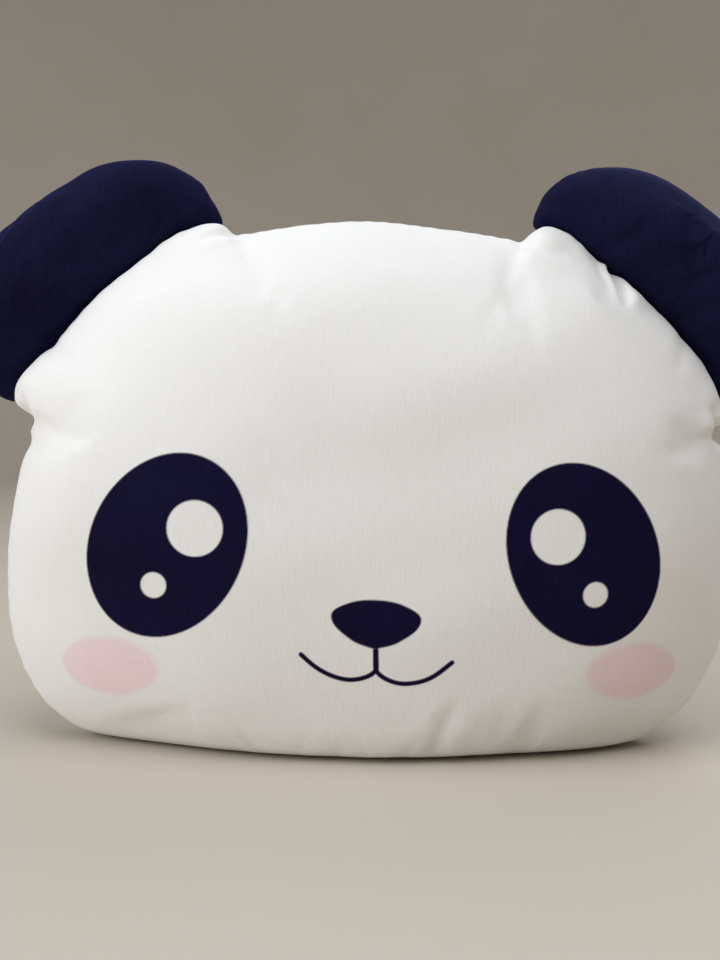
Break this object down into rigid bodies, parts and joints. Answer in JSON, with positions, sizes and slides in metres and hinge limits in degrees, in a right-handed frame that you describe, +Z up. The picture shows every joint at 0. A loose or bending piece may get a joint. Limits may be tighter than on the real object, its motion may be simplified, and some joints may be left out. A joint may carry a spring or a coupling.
{
  "type": "panda head cushion",
  "caption": "stuffed cushion shaped as a panda's head, with a knitted cover sewn from two panels, flexing stuffed ears and a flat printed face",
  "frame": {"origin": "on the floor, under the middle of the cushion's flattened base, in the plane of its seam", "axes": "+Z up, +X to the right of someone facing the printed face, the face looks along -Y"},
  "size_m": [0.418, 0.1228, 0.2895],
  "materials": {
    "white_knit": "smooth short-pile knit, off-white",
    "navy_cloth": "smooth short-pile knit, near-black navy",
    "filling": "loose white fibre filling",
    "navy_print": "matt ink in the pile of the knit, near-black navy",
    "pink_print": "matt ink in the pile of the knit, pale pink"
  },
  "bodies": {
    "head": {"face_panel": "white_knit", "back_panel": "white_knit", "head_filling": "filling", "left_eye_print": "navy_print", "right_eye_print": "navy_print", "nose_print": "navy_print", "mouth_print": "navy_print", "left_cheek_print": "pink_print", "right_cheek_print": "pink_print", "left_ear_tab": "navy_cloth", "right_ear_tab": "navy_cloth"},
    "left_ear": {"left_ear_front_panel": "navy_cloth", "left_ear_back_panel": "navy_cloth", "left_ear_filling": "filling"},
    "right_ear": {"right_ear_front_panel": "navy_cloth", "right_ear_back_panel": "navy_cloth", "right_ear_filling": "filling"}
  },
  "joints": [
    {"name": "left_ear_flex", "type": "hinge", "parent": "head", "child": "left_ear", "pos_m": [-0.13, 0, 0.223], "axis": [0.7615, 0, 0.6481], "range_deg": [-30, 30], "stiffness_Nm_per_rad": 0.2},
    {"name": "right_ear_flex", "type": "hinge", "parent": "head", "child": "right_ear", "pos_m": [0.13, 0, 0.223], "axis": [0.7615, 0, -0.6481], "range_deg": [-30, 30], "stiffness_Nm_per_rad": 0.2}
  ]
}
